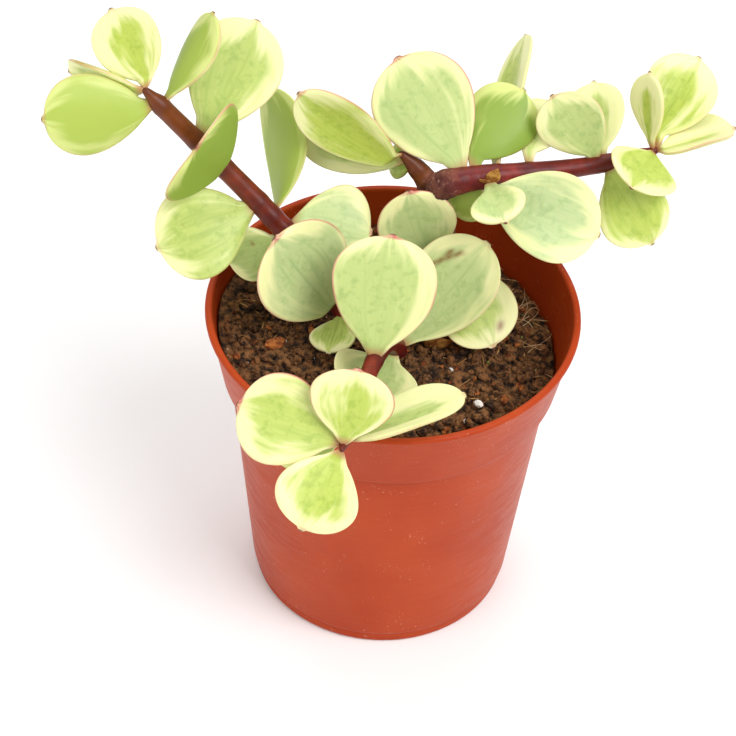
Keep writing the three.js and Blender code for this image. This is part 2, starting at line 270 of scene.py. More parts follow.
class Course:
    """A stem's middle line, walked by length in mm from its root."""

    STEPS = 400

    def __init__(self, points, root_r, tip_r):
        self.points, self.root_r, self.tip_r = points, root_r, tip_r
        self.spots = [bezier(points, i / self.STEPS) for i in range(self.STEPS + 1)]
        self.lengths = [0.0]
        for a, b in zip(self.spots, self.spots[1:]):
            self.lengths.append(self.lengths[-1] + (b - a).length)
        self.length = self.lengths[-1]

    def at(self, mm):
        """The point, direction and radius there. Past either end the line goes straight on."""
        low, high = 0, self.STEPS
        while high - low > 1:
            middle = (low + high) // 2
            low, high = (middle, high) if self.lengths[middle] <= mm else (low, middle)
        a, b = self.spots[low], self.spots[high]
        direction = (b - a).normalized()
        point = a + direction * (mm - self.lengths[low])
        radius = self.root_r + (self.tip_r - self.root_r) * clamp(mm / self.length)
        return point, direction, radius


courses = {name: Course(*stem) for name, stem in STEMS.items()}


# ---- leaves ----
def outline(s):
    """A leaf's half-width at a share s of its length, as a share of its widest."""
    widest = LEAF_WEDGE / (LEAF_WEDGE + LEAF_ROUND)
    return (s / widest) ** LEAF_WEDGE * ((1 - s) / (1 - widest)) ** LEAF_ROUND


def marked(place, marks, length, half_width):
    """How strongly the marks show at a place on the leaf's face, in mm across and along."""
    strongest = 0
    for spots, reach in marks:
        line = [Vector((t * half_width, s * length)) for s, t in spots]
        for a, b in zip(line, line[1:]):
            share = clamp((place - a).dot(b - a) / max((b - a).length_squared, 1e-9))
            strongest = max(strongest, bump_at((place - a - (b - a) * share).length, 0, reach))
    return strongest


def leaf_blade(bm, stem, leaf, seed, marks):
    """A fleshy leaf: a ball drawn out from foot to tip, cupped or arched, with its foot sunk in its stem."""
    at, reach, width, roll, cup, arch, lift = leaf
    point, direction, radius = courses[stem].at(min(at, courses[stem].length))
    reach = Vector(reach)
    along, length = reach.normalized(), reach.length
    outward = (along - direction * along.dot(direction)).normalized()
    base = point + outward * (radius + GAP + lift)
    up = Vector((0, 0, 1))
    face = (up - along * along.z).normalized()
    face.rotate(Matrix.Rotation(math.radians(roll), 3, along))
    across = face.cross(along)
    half = width / 2
    layers = {key: bm.verts.layers.float.new(key) for key in ("across", "along", "upper", "mark")}
    inset = GAP + lift + ROOTED * radius

    def place(z, turn, vertex):
        s = (1 - z) / 2
        ring = math.sqrt(max(1 - z * z, 0))
        cosine, sine = math.cos(turn), math.sin(turn)
        blunt = math.copysign(abs(cosine) ** MARGIN_POWER, cosine)
        wobble = 1 + OUTLINE_WOBBLE * noise.noise(Vector((s * 2.4, blunt * 0.8, seed)))
        petiole = PETIOLE_HALF_WIDTH * math.sqrt(ring) * (1 - s) ** 2
        half_width = max(half * outline(s) * wobble, petiole)
        out = half_width * blunt
        plump = math.copysign(abs(sine) ** FACE_POWER, sine)
        thick = LEAF_HALF_THICK * ring**PLUMP_POWER * plump
        crease = CREASE_DEPTH * bump_at(out, 0, CREASE_HALF_WIDTH) * ease(0.02, 0.2, s) * (1 - s)
        crease = crease if sine > 0 else 0
        ruffle = RUFFLE * noise.noise(Vector((s * 1.7, blunt * 1.3, seed + 40))) * (blunt**2 + 0.25)
        bend = cup * (out / half) ** 2 + arch * 4 * s * (1 - s)
        tip = TIP_POINT * bump_at(s, 1, 0.0016)
        spot = base + along * (length * s + tip) + across * out + face * (thick + bend + ruffle - crease)
        vertex[layers["across"]] = blunt
        vertex[layers["along"]] = s
        vertex[layers["upper"]] = sine
        if sine > 0:
            vertex[layers["mark"]] = marked(Vector((out, length * s)), marks, length, half * outline(s))
        return spot - outward * inset * (1 - ease(0, 0.09, s))

    reshaped_ball(bm, LEAF_AROUND, LEAF_RINGS, place)


def plant_leaves(material):
    """Makes every leaf, with its colouring as attributes that the leaf material reads."""
    number = 0
    for stem, leaves in LEAVES.items():
        for name, leaf in leaves.items():
            number += 1
            bm = bmesh.new()
            leaf_blade(bm, stem, leaf, number * SEED_STEP, MARKS.get(name, ()))
            piece = finish_piece("blade_" + name, bm, material, ["leaf_" + name])
            kinds = (number * PATCH_STEP, *COLOURING.get(name, USUAL_COLOURING))
            for key, value in zip(LEAF_KINDS, kinds):
                layer = piece.data.attributes.new("leaf_" + key, "FLOAT", "POINT")
                layer.data.foreach_set("value", [value] * len(piece.data.vertices))


# ---- stems ----
STEM_AROUND = 40
STEM_RINGS = 260
ROOT_DOME = 3.6
TIP_DOME = 2.0
TIP_PAST = 0.8
NODE_SWELL = 0.12
GROOVE_DEPTH = 0.03
SKIN_RELIEF = 0.018
BARK_RELIEF = 0.27
FORK_ELBOW = 2.5
BRACT_MM = 8.5  # how far along the branch a dried bract stands
SCRAP_XY = (7, -1.5)
FORK_MM = 52  # how far up the main stem the branch leaves it
FORK_RUN = 9  # mm over which the branch's root bends down into the main stem
# How far each stem has turned olive by its tip.
OLIVE = {"left_stem": 0.75, "main_stem": 0.9, "right_branch": 0.15, "front_stem": 0.25}
WOODY = {"left_stem": 30, "main_stem": 58, "right_branch": 2, "front_stem": 18}  # mm from the root under bark


def stem_body(bm, name):
    """A stem that tapers along its course, swells at its leaf nodes and has bark where it is old."""
    course = courses[name]
    start, end = -FORK_RUN if name == "right_branch" else 0, course.length + TIP_PAST
    root, heading, _ = course.at(0)
    fork = courses["main_stem"].at(FORK_MM)[0]
    nodes = sorted({leaf[0] for leaf in LEAVES[name].values()})
    layers = {key: bm.verts.layers.float.new(key) for key in ("woody", "olive", "ring")}
    seed = len(name) * 5.3

    def place(z, turn, vertex):
        share = math.acos(z) / math.pi
        mm = start + (end - start) * share
        point, direction, radius = course.at(mm)
        if mm < 0:
            back, elbow = -mm / FORK_RUN, root - heading * FORK_ELBOW
            point = root * (1 - back) ** 2 + elbow * 2 * back * (1 - back) + fork * back**2
            direction = ((root - elbow) * (1 - back) + (elbow - fork) * back).normalized()
        side = direction.cross(Vector((0.2, 1, 0.1))).normalized()
        other = direction.cross(side)
        woody = 1 - ease(WOODY[name] - 8, WOODY[name] + 6, mm)
        node = max((bump_at(mm, at, 1.3) for at in nodes), default=0)
        c, s = math.cos(turn), math.sin(turn)
        grooves = noise.noise(Vector((c * 2.2, s * 2.2, mm * 0.10 + seed)))
        rough = noise.fractal(Vector((c * 1.6, s * 1.6, mm * 0.45 + seed)), 0.6, 2.2, 4)
        radius += NODE_SWELL * node + GROOVE_DEPTH * grooves + (SKIN_RELIEF + BARK_RELIEF * woody) * rough
        radius *= 1 - 0.5 * ease(course.length - 5, course.length, mm)
        if name == "right_branch":
            radius += 0.5 * bump_at(mm, -2, 3.5)
        if name == "main_stem":
            radius += 0.9 * bump_at(mm, FORK_MM, 6)
        rounded = math.sqrt(1 - clamp(1 - (end - mm) / TIP_DOME) ** 2)
        rounded *= math.sqrt(1 - clamp(1 - (mm - start) / ROOT_DOME) ** 2)
        vertex[layers["woody"]] = woody
        vertex[layers["olive"]] = OLIVE[name] * ease(0.45, 1.0, mm / course.length)
        vertex[layers["ring"]] = node
        return point + (side * c + other * s) * radius * rounded

    reshaped_ball(bm, STEM_AROUND, STEM_RINGS, place)


# ---- pot ----
def rounded_corners(points, cut, steps=4):
    """The profile with every corner between its ends cut back and rounded."""
    done = [Vector(points[0])]
    for a, b, c in zip(points, points[1:], points[2:]):
        a, b, c = Vector(a), Vector(b), Vector(c)
        start = b + (a - b).normalized() * min(cut, (a - b).length * 0.45)
        end = b + (c - b).normalized() * min(cut, (c - b).length * 0.45)
        for i in range(steps + 1):
            k = i / steps
            done.append(start * (1 - k) ** 2 + b * 2 * k * (1 - k) + end * k**2)
    return done + [Vector(points[-1])]


def pot_body(bm):
    """The thin shell, whose profile runs out along the foot, up outside, over the lip and down inside."""
    profile = [
        (0, 0),
        (PAD_R, 0),
        (PAD_R + FLOOR_SLOPE, FLOOR_Z),
        (FOOT_R - FOOT_RING - FLOOR_SLOPE, FLOOR_Z),
        (FOOT_R - FOOT_RING, 0),
        (FOOT_R - EDGE, 0),
        (FOOT_R, EDGE),
        (FOOT_R, FOOT_BAND),
        (FOOT_R + FOOT_LEDGE, FOOT_BAND + EDGE),
        (BODY_R, COLLAR_Z - COLLAR_FLARE),
        (COLLAR_R, COLLAR_Z),
        (RIM_R - WALL, POT_H - LIP_H - EDGE),
        (RIM_R, POT_H - LIP_H),
        (RIM_R, POT_H - EDGE),
        (RIM_R - EDGE, POT_H),
        (RIM_R - LIP + EDGE, POT_H),
        (RIM_R - LIP, POT_H - EDGE),
        (RIM_R - 2 * WALL, POT_H - LIP_H - EDGE),
        (COLLAR_R - WALL, COLLAR_Z + EDGE),
        (BODY_R - WALL, COLLAR_Z - COLLAR_FLARE + EDGE),
        (FOOT_R + FOOT_LEDGE - WALL, FOOT_BAND + WALL),
        (FOOT_R - FOOT_LEDGE - WALL, FLOOR_Z + WALL),
        (0, FLOOR_Z + WALL),
    ]
    spots = [bm.verts.new((r, 0, z)) for r, z in rounded_corners(profile, CORNER)]
    edges = [bm.edges.new(pair) for pair in zip(spots, spots[1:])]
    bmesh.ops.spin(
        bm,
        geom=spots + edges,
        cent=(0, 0, 0),
        axis=(0, 0, 1),
        angle=2 * math.pi,
        steps=POT_SIDES,
        use_merge=True,
        use_duplicate=False,
    )
    bmesh.ops.remove_doubles(bm, verts=bm.verts, dist=1e-4)


def drilled(piece, bm):
    """piece less the drain holes, whose drills are bm's solids in mm."""
    bmesh.ops.scale(bm, vec=(MM, MM, MM), verts=bm.verts)
    mesh = bpy.data.meshes.new("drills")
    bm.to_mesh(mesh)
    bm.free()
    drills = bpy.data.objects.new("drills", mesh)
    bpy.context.scene.collection.objects.link(drills)
    cut = piece.modifiers.new("drain_holes", "BOOLEAN")
    cut.object, cut.operation, cut.solver = drills, "DIFFERENCE", "EXACT"
    shaped = bpy.data.meshes.new_from_object(piece.evaluated_get(bpy.context.evaluated_depsgraph_get()))
    piece.modifiers.clear()
    piece.data = shaped
    bpy.data.objects.remove(drills)


def make_pot(material):
    bm = bmesh.new()
    pot_body(bm)
    pot = finish_piece("nursery_pot", bm, material, ["pot"])
    bm = bmesh.new()
    for i in range(DRAIN_COUNT):
        angle = i / DRAIN_COUNT * 2 * math.pi
        middle = (DRAIN_CIRCLE_R * math.cos(angle), DRAIN_CIRCLE_R * math.sin(angle), FLOOR_Z + WALL / 2)
        bmesh.ops.create_cone(
            bm,
            cap_ends=True,
            segments=32,
            radius1=DRAIN_R,
            radius2=DRAIN_R,
            depth=4,
            matrix=Matrix.Translation(middle),
        )
    drilled(pot, bm)


# ---- soil ----
def soil_top(x, y):
    """The height of the soil's even top, which falls away to the right."""
    bumps = math.sin(x * 0.31 + 1) * math.cos(y * 0.27) + 0.6 * math.sin(x * 0.13 - y * 0.41)
    return SOIL_MIDDLE_Z - SOIL_FALL * x + SOIL_BUMP * bumps


def soil_relief(x, y):
    """How far the peat's lumps stand over the soil's even top."""
    lumps = noise.fractal(Vector((x * 0.42, y * 0.42, 3)), 0.8, 2.1, 5)
    return 1.05 * lumps


def wall_inside(z):
    """The inner radius of the pot's wall at that height."""
    low = z < COLLAR_Z
    z0, r0 = (FOOT_BAND + WALL, FOOT_R + FOOT_LEDGE) if low else (COLLAR_Z, COLLAR_R)
    z1, r1 = (COLLAR_Z - COLLAR_FLARE, BODY_R) if low else (POT_H - LIP_H - EDGE, RIM_R - WALL)
    return r0 + (r1 - r0) * (z - z0) / (z1 - z0) - WALL


SOIL_AROUND = 200
SOIL_RINGS = 130
TOP_SHARE = 0.8  # the share of the soil's rings that its top takes
SIDE_TOP_Z = 60
SOIL_CLEAR = 0.15
STRAWS = 70
FINE_ROOTS = 34
MOSS_XY = (22, 4)
ROOT_LIFTS = (0, 0.8, 1.3, 1.0)  # how far a fine root stands off the peat at its four points


def soil_body(bm):
    """The whole mass of soil, with a lumpy top that banks up a little against the wall."""
    bottom = FLOOR_Z + WALL + 0.1

    def place(z, turn, vertex):
        share = math.acos(z) / math.pi
        c, s = math.cos(turn), math.sin(turn)
        if share < TOP_SHARE:
            edge = wall_inside(SOIL_MIDDLE_Z - SOIL_FALL * c * RIM_R) - SOIL_CLEAR
            r = edge * share / TOP_SHARE
            x, y = r * c, r * s
            rise = 0.9 * bump_at(r, edge, 2.5) * (0.5 + noise.noise(Vector((c * 3, s * 3, 9))))
            return Vector((x, y, soil_top(x, y) + soil_relief(x, y) + rise))
        down = (share - TOP_SHARE) / (1 - TOP_SHARE)
        height = SIDE_TOP_Z - (SIDE_TOP_Z - bottom) * clamp(down * 2)
        r = (wall_inside(max(height, FOOT_BAND + LIP)) - SOIL_CLEAR - EDGE) * clamp(2 - down * 2)
        return Vector((r * c, r * s, height))

    reshaped_ball(bm, SOIL_AROUND, SOIL_RINGS, place)


def on_soil(x, y, rise=0.0, clear=0.5):
    """The spot above the soil there, pulled in so that it stays clear of the pot's wall."""
    room = wall_inside(soil_top(x, y)) - clear
    share = min(1, room / max(math.hypot(x, y), 1e-6))
    x, y = x * share, y * share
    return Vector((x, y, soil_top(x, y) + soil_relief(x, y) + rise))


def scatter_spot(rng, clear=0.5):
    """A random spot on the soil that leaves this much room beside the pot's wall."""
    while True:
        x, y = rng.uniform(-RIM_R, RIM_R), rng.uniform(-RIM_R, RIM_R)
        if math.hypot(x, y) <= wall_inside(soil_top(x, y)) - clear:
            return on_soil(x, y, clear=clear)


def add_crumb(bm, rng, spot, size, fineness):
    """A lumpy crumb, turned at random and half sunk at its spot."""
    lengths = [size * rng.uniform(0.6, 1.3) for _ in range(3)]
    lengths[2] *= 0.7
    turned = Matrix.Rotation(rng.uniform(0, 6.3), 4, Vector([rng.uniform(-1, 1) for _ in range(3)]))
    matrix = Matrix.Translation(spot + Vector((0, 0, size * 0.25))) @ turned @ Matrix.Diagonal((*lengths, 1))
    made = bmesh.ops.create_icosphere(bm, subdivisions=fineness, radius=1, matrix=matrix)
    for vertex in made["verts"]:
        vertex.co += Vector([rng.uniform(-1, 1) for _ in range(3)]) * size * 0.16


def add_thread(bm, spots, radius, around=6, rings=18):
    """A thin round thread along the curve of four points."""

    def place(z, turn, vertex):
        share = math.acos(z) / math.pi
        here, ahead = bezier(spots, share), bezier(spots, min(share + 0.01, 1.01))
        direction = (ahead - here).normalized()
        side = direction.cross(Vector((0.1, 0.2, 1))).normalized()
        other = direction.cross(side)
        thin = radius * min(1, math.sqrt(max(0, math.sin(math.pi * share))) * 1.6)
        return here + (side * math.cos(turn) + other * math.sin(turn)) * thin

    reshaped_ball(bm, around, rings, place)


def wandering(rng, start, step, stray):
    """Four points a step apart, each put aside at random by as much as stray."""
    spots = []
    for i in range(4):
        aside = Vector((rng.uniform(-stray, stray), rng.uniform(-stray, stray), 0))
        spots.append(start + step * i + aside)
    return spots


def add_dry_scale(bm, foot, tip, width, curl):
    """A thin dead scale, widest a third of the way up and curling back as it nears its point."""
    foot, tip = Vector(foot), Vector(tip)
    along = tip - foot
    across = along.cross(Vector((0.2, 1, 0.3))).normalized()
    face = across.cross(along).normalized()

    def place(z, turn, vertex):
        s = (1 - z) / 2
        out = width / 2 * (outline(1 - s) if 0 < s < 1 else 0) * math.cos(turn)
        thick = 0.12 * math.sqrt(max(1 - z * z, 0)) * math.sin(turn)
        return foot + along * s + across * out + face * (thick + curl * s * s + 0.5 * (out / width) ** 2)

    reshaped_ball(bm, 24, 16, place)


def make_dead_scraps(material):
    """A dried bract at the foot of a small leaf, and a curled scrap of dead leaf on the peat."""
    point, _, radius = courses["right_branch"].at(BRACT_MM)
    bract = bmesh.new()
    foot = point + Vector((0, -radius, 0.3))
    add_dry_scale(bract, foot, foot + Vector((1.4, -1.2, 4.2)), 3.0, 0.8)
    add_dry_scale(bract, foot, foot + Vector((-2.2, -1.6, 1.6)), 2.0, 0.5)
    finish_piece("dried_bract", bract, material)
    scrap = bmesh.new()
    x, y = SCRAP_XY
    foot = on_soil(x, y, rise=0.6)
    add_dry_scale(scrap, foot, foot + Vector((6.0, -1.2, 1.4)), 4.4, 1.2)
    finish_piece("dead_leaf_scrap", scrap, material)


def make_litter(materials):
    """What lies on the peat: crumbs, bark, perlite, fibres, roots and a little moss."""
    rng = random.Random(SEED)
    kinds = [  # piece, material, slot, count, size from and to in mm, fineness
        ("peat_crumbs", "peat", "soil", 2600, (0.35, 1.6), 1),
        ("bark_bits", "bark", "bark", 420, (0.3, 1.15), 1),
        ("perlite_grains", "perlite", "perlite", 26, (0.2, 0.5), 2),
        ("moss_specks", "moss", "soil", 60, (0.2, 0.45), 1),
    ]
    for name, kind, slot, count, (small, large), fineness in kinds:
        bm = bmesh.new()
        for _ in range(count):
            size = small + (large - small) * rng.random() ** 2.5
            spot = scatter_spot(rng, clear=size * 1.4 + 0.2)
            if kind == "moss":
                spot = on_soil(MOSS_XY[0] + rng.gauss(0, 4), MOSS_XY[1] + rng.gauss(0, 6), clear=1.0)
            add_crumb(bm, rng, spot, size, fineness)
        finish_piece(name, bm, materials[kind], smooth=kind == "perlite")
    bm = bmesh.new()
    for _ in range(STRAWS):
        start = scatter_spot(rng, clear=3)
        heading = rng.uniform(0, 2 * math.pi)
        length = rng.uniform(3, 10)
        step = Vector((math.cos(heading), math.sin(heading), 0)) * length / 3
        spots = wandering(rng, start, step, 0.12 * length)
        spots = [on_soil(spot.x, spot.y, rise=rng.uniform(0.1, 0.7)) for spot in spots]
        add_thread(bm, spots, rng.uniform(0.07, 0.16))
    finish_piece("straw_fibres", bm, materials["straw"])
    bm = bmesh.new()
    for _ in range(FINE_ROOTS):
        angle = rng.gauss(0.5, 0.5)
        start = Vector((math.cos(angle) * rng.uniform(24, 33), math.sin(angle) * rng.uniform(24, 33), 0))
        heading = angle + rng.uniform(-1.2, 1.2)
        length = rng.uniform(4, 10)
        step = Vector((math.cos(heading), math.sin(heading), 0)) * length / 3
        spots = wandering(rng, start, step, 0.2 * length)
        spots = [
            on_soil(spot.x, spot.y, rise=lift + rng.uniform(0, 0.8)) for spot, lift in zip(spots, ROOT_LIFTS)
        ]
        add_thread(bm, spots, rng.uniform(0.05, 0.09))
    finish_piece("fine_roots", bm, materials["root"])


# ---- materials ----
def linear(hex_colour):
    """An sRGB hex colour as linear RGBA."""
    parts = [int(hex_colour[i : i + 2], 16) / 255 for i in (1, 3, 5)]
    return (*(p / 12.92 if p <= 0.04045 else ((p + 0.055) / 1.055) ** 2.4 for p in parts), 1)


def add_node(tree, kind, inputs=None, out=0, **settings):
    """Adds a node and gives one of its outputs. Each input is a value, or the socket that it links from."""
    made = tree.nodes.new("ShaderNode" + kind)
    for name, value in settings.items():
        setattr(made, name, value)
    for socket, value in (inputs or {}).items():
        if isinstance(value, bpy.types.NodeSocket):
            tree.links.new(value, made.inputs[socket])
        else:
            made.inputs[socket].default_value = value
    return made.outputs[out]


def new_material(name):
    """A plain new material, with the adder of its nodes."""
    material = bpy.data.materials.new(name)
    material.use_nodes = True
    return material, functools.partial(add_node, material.node_tree)


def finish_surface(material, looks, constants):
    """Links the sockets in looks to the Principled shader and sets the constants on it."""
    shader = material.node_tree.nodes["Principled BSDF"].inputs
    for name, socket in looks.items():
        material.node_tree.links.new(socket, shader[name])
    for name, value in constants.items():
        shader[name].default_value = value


# A noise's scale is one over the size of its patches in metres, so 900 gives marks about 1.1 mm across.
EASED = {"interpolation_type": "SMOOTHSTEP"}
COLOURS = {"data_type": "RGBA", "out": 2}
MULTIPLY = {"operation": "MULTIPLY"}
SCALE_AND_ADD = {"operation": "MULTIPLY_ADD"}


def leaf_material():
    """Living elephant bush leaf: a thin waxy skin over watery flesh, so it has a satin gloss and a soft glow,
    with a green middle that feathers into cream margins, a pink rim and a brown point. Its mottling is about
    2 mm across, its pores 1 mm and its shallow wrinkles 6 mm."""
    material, add = new_material("variegated_leaf")
    across, along, upper, mark = (
        add("Attribute", out=2, attribute_name=key) for key in ("across", "along", "upper", "mark")
    )
    seed, green, age, dark, blush, lean = (
        add("Attribute", out=2, attribute_name="leaf_" + key) for key in LEAF_KINDS
    )
    # Broad uneven patches, feathered streaks and a fine grain, all drawn out from the leaf's foot to its tip.
    spot = add("CombineXYZ", {0: across, 1: along, 2: seed})
    broad, feather, fine = (
        add(
            "TexNoise",
            {
                "Vector": add("Mapping", {"Vector": spot, "Scale": scale, "Location": (0, 0, shift)}),
                "Scale": 1,
                "Detail": detail,
                "Roughness": 0.6,
            },
        )
        for scale, shift, detail in (((2.6, 1.5, 1), 0, 2), ((9, 1.6, 1), 11, 3), ((26, 3, 1), 23, 2))
    )
    # The green middle fades out towards the margins and the tip.
    off_middle = add("Math", {0: across, 1: lean}, operation="SUBTRACT")
    off_middle = add("Math", {0: off_middle}, operation="ABSOLUTE")
    near_tip = add("MapRange", {0: along, 1: 0.62, 2: 1.0}, **EASED)
    ragged = add("Math", {0: broad, 1: 1.7, 2: green}, **SCALE_AND_ADD)
    ragged = add("Math", {0: feather, 1: 0.45, 2: ragged}, **SCALE_AND_ADD)
    depth = add("Math", {0: ragged, 1: off_middle}, operation="SUBTRACT")
    depth = add("Math", {0: near_tip, 1: -0.75, 2: depth}, **SCALE_AND_ADD)
    middle = add("MapRange", {0: depth, 1: 0.775, 2: 1.415}, **EASED)
    deep = add("MapRange", {0: depth, 1: 1.175, 2: 1.825}, **EASED)

    cream = add("Mix", {0: fine, 6: linear("#e4e49e"), 7: linear("#efedb6")}, **COLOURS)
    core = add("Mix", {0: age, 6: linear("#bac958"), 7: linear("#bdcc92")}, **COLOURS)
    core_dark = add("Mix", {0: age, 6: linear("#90aa32"), 7: linear("#97b276")}, **COLOURS)
    streaked = add("MapRange", {0: feather, 1: 0.42, 2: 0.68}, **EASED)
    streaked = add("Math", {0: streaked, 1: add("Math", {0: dark, 1: deep}, **MULTIPLY)}, **MULTIPLY)
    place = add("TexCoord", out=3)
    mottle = add("TexNoise", {"Vector": place, "Scale": 480, "Detail": 3, "Roughness": 0.65})
    mottled = add("MapRange", {0: mottle, 1: 0.45, 2: 0.7, 3: 0.0, 4: 0.55}, **EASED)
    mottled = add("Math", {0: mottled, 1: middle}, **MULTIPLY)
    darkened = add("Math", {0: streaked, 1: mottled}, operation="MAXIMUM")
    core = add("Mix", {0: darkened, 6: core, 7: core_dark}, **COLOURS)
    top = add("Mix", {0: middle, 6: cream, 7: core}, **COLOURS)
    # Each leaf's dark value also deepens its underside's green: painted shade, strongest on the leaves that
    # sit in shade.
    underside_green_and_painted_shade = add("Mix", {0: dark, 6: linear("#a9bd4c"), 7: linear("#7d9b2e")}, **COLOURS)
    below_middle = add("Math", {0: middle, 1: 0.9}, **MULTIPLY)
    below = add("Mix", {0: below_middle, 6: linear("#ced681"), 7: underside_green_and_painted_shade}, **COLOURS)
    on_top = add("MapRange", {0: upper, 1: -0.25, 2: 0.1}, **EASED)
    colour = add("Mix", {0: on_top, 6: below, 7: top}, **COLOURS)

    # The pink rim, the brown marks, the brown point and the tan foot.
    side = add("Math", {0: across}, operation="ABSOLUTE")
    side = add("MapRange", {0: side, 1: 0.94, 2: 1.0}, **EASED)
    end = add("MapRange", {0: along, 1: 0.97, 2: 0.996}, **EASED)
    rim = add("Math", {0: side, 1: end}, operation="MAXIMUM")
    uneven = add("MapRange", {0: broad, 1: 0.3, 2: 0.6, 3: 0.35, 4: 1.0}, **EASED)
    rim = add("Math", {0: rim, 1: add("Math", {0: blush, 1: uneven}, **MULTIPLY)}, **MULTIPLY)
    colour = add("Mix", {0: rim, 6: colour, 7: linear("#c25c62")}, **COLOURS)
    brown = add("Math", {0: mark, 1: 0.85}, **MULTIPLY)
    colour = add("Mix", {0: brown, 6: colour, 7: linear("#84501f")}, **COLOURS)
    point = add("MapRange", {0: along, 1: 0.9980, 2: 0.9996}, **EASED)
    colour = add("Mix", {0: point, 6: colour, 7: linear("#6b3328")}, **COLOURS)
    foot = add("MapRange", {0: along, 1: 0.02, 2: 0.075, 3: 1.0, 4: 0.0}, **EASED)
    colour = add("Mix", {0: foot, 6: colour, 7: linear("#b98a5c")}, **COLOURS)

    pores = add("TexNoise", {"Vector": place, "Scale": 900, "Detail": 2})
    wrinkles = add("TexNoise", {"Vector": place, "Scale": 160, "Detail": 3})
    relief = add("Math", {0: pores, 1: 0.25, 2: wrinkles}, **SCALE_AND_ADD)
    looks = {
        "Base Color": colour,
        "Normal": add("Bump", {"Height": relief, "Strength": 0.12, "Distance": 0.0006}),
        "Roughness": add("MapRange", {0: wrinkles, 1: 0.3, 2: 0.7, 3: 0.34, 4: 0.46}, **EASED),
    }
    constants = {
        "Subsurface Weight": 0.2,
        "Subsurface Radius": (0.6, 1.0, 0.25),
        "Subsurface Scale": 0.0012,
        "IOR": 1.42,
    }
    finish_surface(material, looks, constants)
    return material


def stem_material():
    """Elephant bush stem: smooth red-maroon skin with a satin gloss on young wood, olive near the tips, and
    corky grey-brown bark where it is old. Its patches are about 4 mm across and its flecks under 1 mm."""
    material, add = new_material("maroon_stem")
    woody, olive, ring = (add("Attribute", out=2, attribute_name=key) for key in ("woody", "olive", "ring"))
    place = add("TexCoord", out=3)
    patches = add("TexNoise", {"Vector": place, "Scale": 260, "Detail": 4, "Roughness": 0.65})
    specks = add("TexNoise", {"Vector": place, "Scale": 1400, "Detail": 2})
    mottle = add("MapRange", {0: patches, 1: 0.35, 2: 0.7}, **EASED)
    young = add("Mix", {0: mottle, 6: linear("#5c1210"), 7: linear("#842219")}, **COLOURS)
    greening = add("MapRange", {0: patches, 1: 0.2, 2: 0.7, 3: 0.6, 4: 1.0}, **EASED)
    greening = add("Math", {0: olive, 1: greening}, **MULTIPLY)
    young = add("Mix", {0: greening, 6: young, 7: linear("#734212")}, **COLOURS)
    bark = add("Mix", {0: mottle, 6: linear("#482019"), 7: linear("#8a5341")}, **COLOURS)
    flecks = add("MapRange", {0: specks, 1: 0.6, 2: 0.75, 3: 0.0, 4: 0.5}, **EASED)
    bark = add("Mix", {0: flecks, 6: bark, 7: linear("#b0907a")}, **COLOURS)
    worn = add("Math", {0: woody, 1: patches}, operation="ADD")
    worn = add("MapRange", {0: worn, 1: 0.8, 2: 1.2}, **EASED)
    colour = add("Mix", {0: worn, 6: young, 7: bark}, **COLOURS)
    ring = add("Math", {0: ring, 1: 0.35}, **MULTIPLY)
    colour = add("Mix", {0: ring, 6: colour, 7: linear("#3f1518")}, **COLOURS)
    relief = add("Math", {0: specks, 1: 0.4, 2: patches}, **SCALE_AND_ADD)
    strength = add("MapRange", {0: worn, 3: 0.1, 4: 0.9}, **EASED)
    looks = {
        "Base Color": colour,
        "Normal": add("Bump", {"Height": relief, "Strength": strength, "Distance": 0.0007}),
        "Roughness": add("MapRange", {0: worn, 3: 0.4, 4: 0.8}, **EASED),
    }
    finish_surface(material, looks, {"Specular IOR Level": 0.3})
    return material


def pot_material():
    """Thermoformed polypropylene sheet, pigmented terracotta: satin, slightly wavy, with pale dust and fine
    rubbed scratches that run round it. Waves are about 20 mm across, rubbed patches 8 mm and dust 0.6 mm."""
    material, add = new_material("thermoformed_polypropylene")
    place = add("TexCoord", out=3)
    waves = add("TexNoise", {"Vector": place, "Scale": 45, "Detail": 2})
    specks = add("TexNoise", {"Vector": place, "Scale": 1700, "Detail": 2})
    patches = add("TexNoise", {"Vector": place, "Scale": 120, "Detail": 4})
    drawn_round = add("Mapping", {"Vector": place, "Scale": (1, 1, 9)})
    scratches = add("TexNoise", {"Vector": drawn_round, "Scale": 130, "Detail": 5, "Roughness": 0.75})
    tone = add("MapRange", {0: waves, 1: 0.3, 2: 0.7}, **EASED)
    colour = add("Mix", {0: tone, 6: linear("#a8380f"), 7: linear("#b24114")}, **COLOURS)
    rubbed = add("MapRange", {0: patches, 1: 0.55, 2: 0.85, 3: 0.0, 4: 0.25}, **EASED)
    colour = add("Mix", {0: rubbed, 6: colour, 7: linear("#c2562c")}, **COLOURS)
    dust = add("MapRange", {0: specks, 1: 0.66, 2: 0.74, 3: 0.0, 4: 0.5}, **EASED)
    dust = add("Math", {0: dust, 1: add("MapRange", {0: patches, 1: 0.45, 2: 0.6}, **EASED)}, **MULTIPLY)
    # A pale broken line is painted where the collar steps out from the body: a painted highlight along the
    # step's edge, joined here to the dust specks.
    height = add("SeparateXYZ", {0: place}, out=2)
    step = add("Math", {0: height, 1: COLLAR_STEP_Z * MM, 2: 0.0004}, operation="COMPARE")
    painted_step_highlight = add("MapRange", {0: patches, 1: 0.47, 2: 0.6, 3: 0.0, 4: 0.4}, **EASED)
    dust = add("Math", {0: dust, 1: add("Math", {0: step, 1: painted_step_highlight}, **MULTIPLY)}, operation="MAXIMUM")
    colour = add("Mix", {0: dust, 6: colour, 7: linear("#e2b49a")}, **COLOURS)
    relief = add("Math", {0: scratches, 1: 0.04, 2: waves}, **SCALE_AND_ADD)
    looks = {
        "Base Color": colour,
        "Normal": add("Bump", {"Height": relief, "Strength": 0.25, "Distance": 0.001}),
        "Roughness": add("MapRange", {0: scratches, 1: 0.3, 2: 0.75, 3: 0.32, 4: 0.52}, **EASED),
    }
    finish_surface(material, looks, {"IOR": 1.49, "Specular IOR Level": 0.16})
    return material


